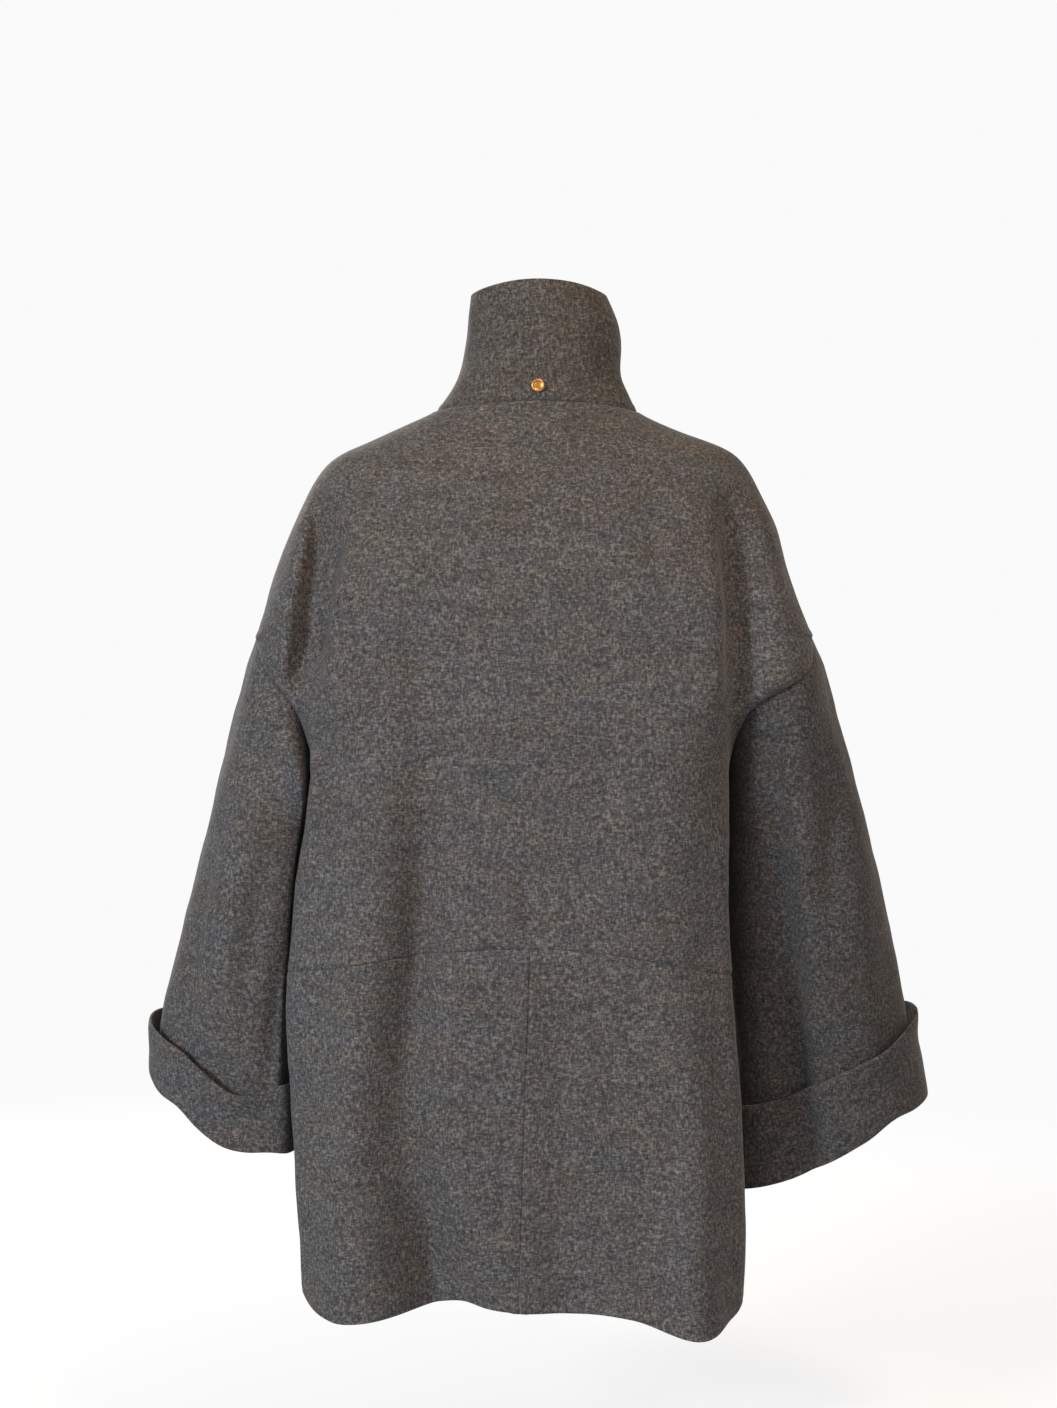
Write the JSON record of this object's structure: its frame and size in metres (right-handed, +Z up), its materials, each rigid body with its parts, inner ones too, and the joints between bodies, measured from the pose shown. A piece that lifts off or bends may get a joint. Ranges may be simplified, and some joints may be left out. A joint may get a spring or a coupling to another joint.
{
  "type": "stand-collar wool jacket",
  "caption": "Hollow worn jacket in grey wool melange with a tall stand collar, dropped wide sleeves, turned-back cuffs and a waist seam at the back, to dress a figure",
  "frame": {"origin": "middle of the neck at the height of the neck seam, where the wearer's neck and shoulders carry the jacket", "axes": "+X to the wearer's left, +Y behind the wearer, +Z up along the wearer's neck; the front faces -Y"},
  "size_m": [0.7121, 0.277, 0.9146],
  "materials": {
    "wool": "mid-grey salt-and-pepper wool melange, brushed",
    "wool_collar": "the same wool, a little warmer",
    "wool_sleeve": "the same wool",
    "wool_cuff": "the same wool, folded double",
    "stud_brass": "antique brass, softly polished rim"
  },
  "bodies": {
    "root": {"back_upper": "wool", "back_lower_left": "wool", "back_lower_right": "wool", "front_left": "wool", "front_right": "wool", "collar": "wool_collar", "sleeve_left": "wool_sleeve", "sleeve_right": "wool_sleeve", "cuff_left": "wool_cuff", "cuff_right": "wool_cuff", "neck_stud": "stud_brass"}
  },
  "joints": []
}
